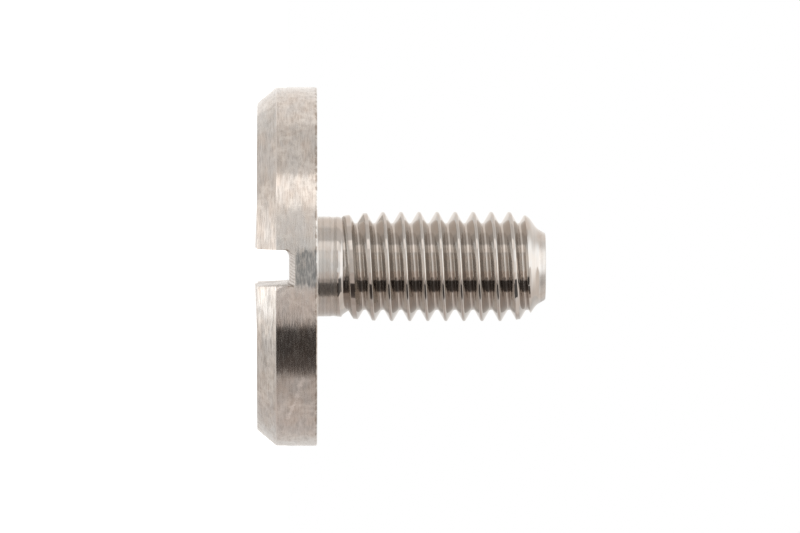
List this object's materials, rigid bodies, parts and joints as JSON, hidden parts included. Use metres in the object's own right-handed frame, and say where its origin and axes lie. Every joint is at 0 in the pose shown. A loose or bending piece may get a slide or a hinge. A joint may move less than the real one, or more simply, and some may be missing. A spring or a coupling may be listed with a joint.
{
  "type": "slotted large head screw",
  "caption": "Metric machine screw with a wide, thin, bevelled round head, a straight driver slot, a short plain neck and a right-hand threaded shank.",
  "frame": {"origin": "centre of the head's flat bearing face, on the screw's axis", "axes": "+Z along the shank from the head to its tip, so the screw stands on its head; +Y along the driver slot"},
  "size_m": [0.016, 0.0158, 0.0128],
  "materials": {
    "stainless": "turned stainless steel, bright, with fine turning lines"
  },
  "bodies": {
    "root": {"screw": "stainless"}
  },
  "joints": []
}
